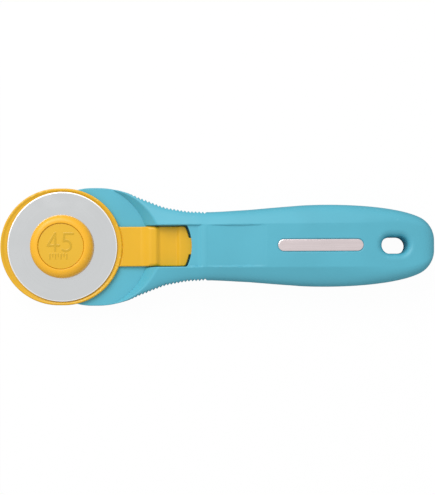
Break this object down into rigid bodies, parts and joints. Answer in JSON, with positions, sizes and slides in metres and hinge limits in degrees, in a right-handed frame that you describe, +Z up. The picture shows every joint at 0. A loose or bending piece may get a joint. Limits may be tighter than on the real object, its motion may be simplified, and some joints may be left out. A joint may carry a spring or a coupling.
{
  "type": "rotary cutter",
  "caption": "Hand-held rotary cutter: a round blade under a centre knob, a sliding blade guard with a thumb ridge, and a slim waisted handle with a hanging hole.",
  "frame": {"origin": "middle of the bounding box, on the surface that the handle's flat back lies on", "axes": "+X from the blade to the hanging hole, +Z up out of the handle's front face, +Y to the left when looking along +X"},
  "size_m": [0.1782, 0.0486, 0.0173],
  "materials": {
    "handle_plastic": "satin",
    "yellow_plastic": "satin",
    "cap_plastic": "satin",
    "blade_steel": "satin",
    "bolt_steel": "satin",
    "screw_steel": "satin",
    "spring_steel": "satin",
    "plate_metal": "satin",
    "insert_brass": "satin"
  },
  "bodies": {
    "handle": {"handle_back_shell": "handle_plastic", "handle_front_shell": "handle_plastic", "shell_screws_front": "screw_steel", "shell_screws_rear": "screw_steel", "name_plate": "plate_metal", "axle_bolt": "bolt_steel", "knob": "yellow_plastic", "knob_cap": "cap_plastic"},
    "guard": {"blade_guard": "yellow_plastic"},
    "blade": {"blade": "blade_steel"},
    "washer": {"spring_washer": "spring_steel"},
    "nut": {"nut": "yellow_plastic", "nut_insert": "insert_brass"}
  },
  "joints": [
    {"name": "guard_slide", "type": "slide", "parent": "handle", "child": "guard", "axis": [1, 0, 0], "range_m": [0, 0.01]},
    {"name": "blade_spin", "type": "hinge", "parent": "handle", "child": "blade", "pos_m": [-0.0635, 0, 0.0107], "axis": [0, 0, 1], "continuous": true},
    {"name": "washer_travel", "type": "slide", "parent": "handle", "child": "washer", "axis": [0, 0, -1], "range_m": [0, 0.0024]},
    {"name": "nut_turn", "type": "hinge", "parent": "washer", "child": "nut", "pos_m": [-0.0635, 0, 0.002], "axis": [0, 0, -1], "range_deg": [0, 1080]}
  ],
  "couplings": [
    {"joint": "nut_turn", "follows": "washer_travel", "rad_per_m": 7853.9}
  ]
}
